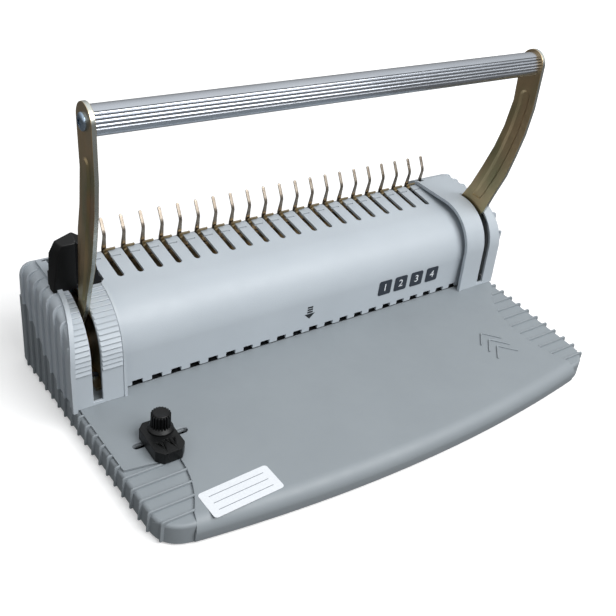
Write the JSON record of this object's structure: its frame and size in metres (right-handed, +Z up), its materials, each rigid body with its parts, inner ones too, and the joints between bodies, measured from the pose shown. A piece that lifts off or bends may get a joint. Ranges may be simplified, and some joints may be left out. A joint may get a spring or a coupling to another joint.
{
  "type": "comb binding machine",
  "caption": "Comb binding machine with a front paper tray, curved punch housing, comb prongs and opener hooks, and a lever with a fluted grip bar.",
  "frame": {"origin": "on the floor under the middle of the machine", "axes": "+Z up, the user stands at -Y, +X to the user's right"},
  "size_m": [0.384, 0.217, 0.2185],
  "materials": {
    "base_plastic": "moulded ABS, fine texture",
    "cover_plastic": "moulded ABS, fine texture",
    "black_plastic": "moulded nylon",
    "rubber": "moulded",
    "zinc_steel": "blue zinc plated",
    "passivated_steel": "yellow passivated zinc plate",
    "tool_steel": "ground",
    "hook_steel": "yellow passivated zinc plate",
    "prong_steel": "nickel plated",
    "grip_aluminium": "extruded and anodised",
    "bronze": "sintered bronze",
    "nylon": "moulded nylon",
    "plate_paint": "powder coated",
    "badge_print": "printed film",
    "label_film": "blank film"
  },
  "bodies": {
    "base": {"base_tray": "base_plastic", "bottom_plate": "plate_paint", "rubber_feet": "rubber", "base_screws": "zinc_steel", "front_cover": "cover_plastic", "left_end_cover": "cover_plastic", "right_end_cover": "cover_plastic", "rear_cover": "cover_plastic", "left_side_frame": "passivated_steel", "right_side_frame": "passivated_steel", "shaft_bushes": "bronze", "frame_screws": "zinc_steel", "die_plate": "tool_steel", "punch_guide": "tool_steel", "throat_spacers": "tool_steel", "paper_stop": "tool_steel", "prong_rack": "prong_steel", "return_springs": "zinc_steel", "badges": "badge_print", "blank_label": "label_film"},
    "lever": {"left_arm": "passivated_steel", "right_arm": "passivated_steel", "handle_bar": "grip_aluminium", "bar_plugs": "nylon", "handle_screws": "zinc_steel", "pivot_shaft": "zinc_steel", "shaft_clips": "tool_steel", "punch_cams": "tool_steel", "rack_pinions": "nylon"},
    "punch": {"punch_bar": "passivated_steel", "punch_pins": "tool_steel", "cam_followers": "passivated_steel"},
    "opener": {"hook_rack": "hook_steel", "toothed_racks": "nylon", "rack_studs": "zinc_steel"},
    "comb_stop": {"opening_stop": "black_plastic"},
    "guide": {"edge_guide": "black_plastic", "guide_stud": "zinc_steel"},
    "knob": {"guide_knob": "black_plastic"},
    "drawer": {"chip_drawer": "base_plastic"}
  },
  "joints": [
    {"name": "lever_hinge", "type": "hinge", "parent": "base", "child": "lever", "pos_m": [0, 0.0705, 0.032], "axis": [1, 0, 0], "range_deg": [0, 64], "stiffness_Nm_per_rad": 0.35, "springref_deg": -45.84},
    {"name": "punch_slide", "type": "slide", "parent": "base", "child": "punch", "axis": [0, 0, -1], "range_m": [0, 0.00801], "deforming": ["return_springs"]},
    {"name": "opener_slide", "type": "slide", "parent": "base", "child": "opener", "axis": [0, -1, 0], "range_m": [0, 0.0202]},
    {"name": "stop_slide", "type": "slide", "parent": "base", "child": "comb_stop", "axis": [0, 1, 0], "range_m": [0, 0.01]},
    {"name": "guide_slide", "type": "slide", "parent": "base", "child": "guide", "axis": [1, 0, 0], "range_m": [-0.016, 0.016]},
    {"name": "knob_turn", "type": "hinge", "parent": "guide", "child": "knob", "pos_m": [-0.15, -0.0245, 0.026], "axis": [0, 0, 1], "range_deg": [0, 180]},
    {"name": "drawer_slide", "type": "slide", "parent": "base", "child": "drawer", "axis": [1, 0, 0], "range_m": [0, 0.15]}
  ],
  "couplings": [
    {"joint": "punch_slide", "follows": "lever_hinge", "m_per_rad": 0.00716},
    {"joint": "opener_slide", "follows": "lever_hinge", "m_per_rad": 0.018}
  ]
}
